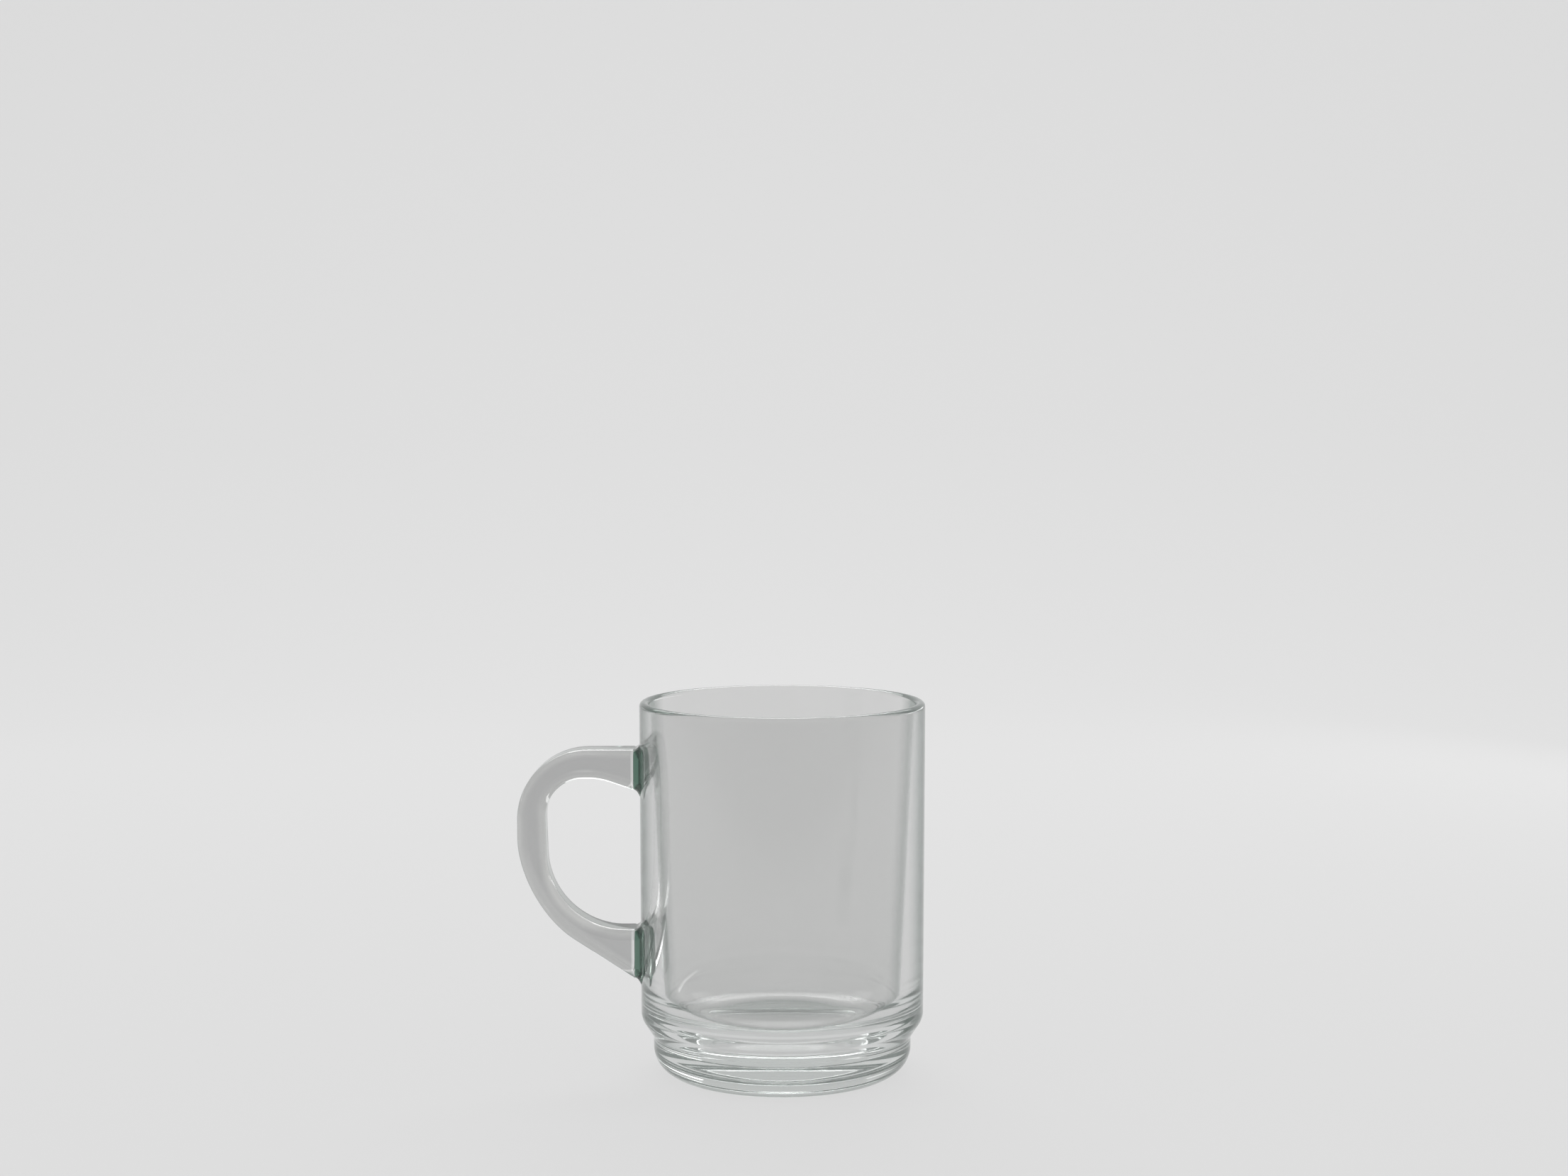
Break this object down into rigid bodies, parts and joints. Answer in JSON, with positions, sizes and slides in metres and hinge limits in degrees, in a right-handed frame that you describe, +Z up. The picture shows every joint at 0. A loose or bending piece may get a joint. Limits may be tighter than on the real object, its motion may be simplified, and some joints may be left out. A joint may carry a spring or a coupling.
{
  "type": "tea glass with handle",
  "caption": "Straight-walled clear glass tea mug with a rounded rim, a stepped-in stacking foot and an ear handle fused to the wall.",
  "frame": {"origin": "on the table plane, under the middle of the whole piece with its handle", "axes": "+Z up through the mouth, -X towards the handle, Y across the handle; the glass's own axis stands at +X from the origin"},
  "size_m": [0.1002, 0.0702, 0.092],
  "materials": {
    "clear_glass": "fire-polished clear soda-lime glass",
    "fused_glass": "fire-polished clear glass, greener where it is thick"
  },
  "bodies": {
    "root": {"glass_body": "clear_glass", "handle": "clear_glass", "upper_weld": "fused_glass", "lower_weld": "fused_glass"}
  },
  "joints": []
}
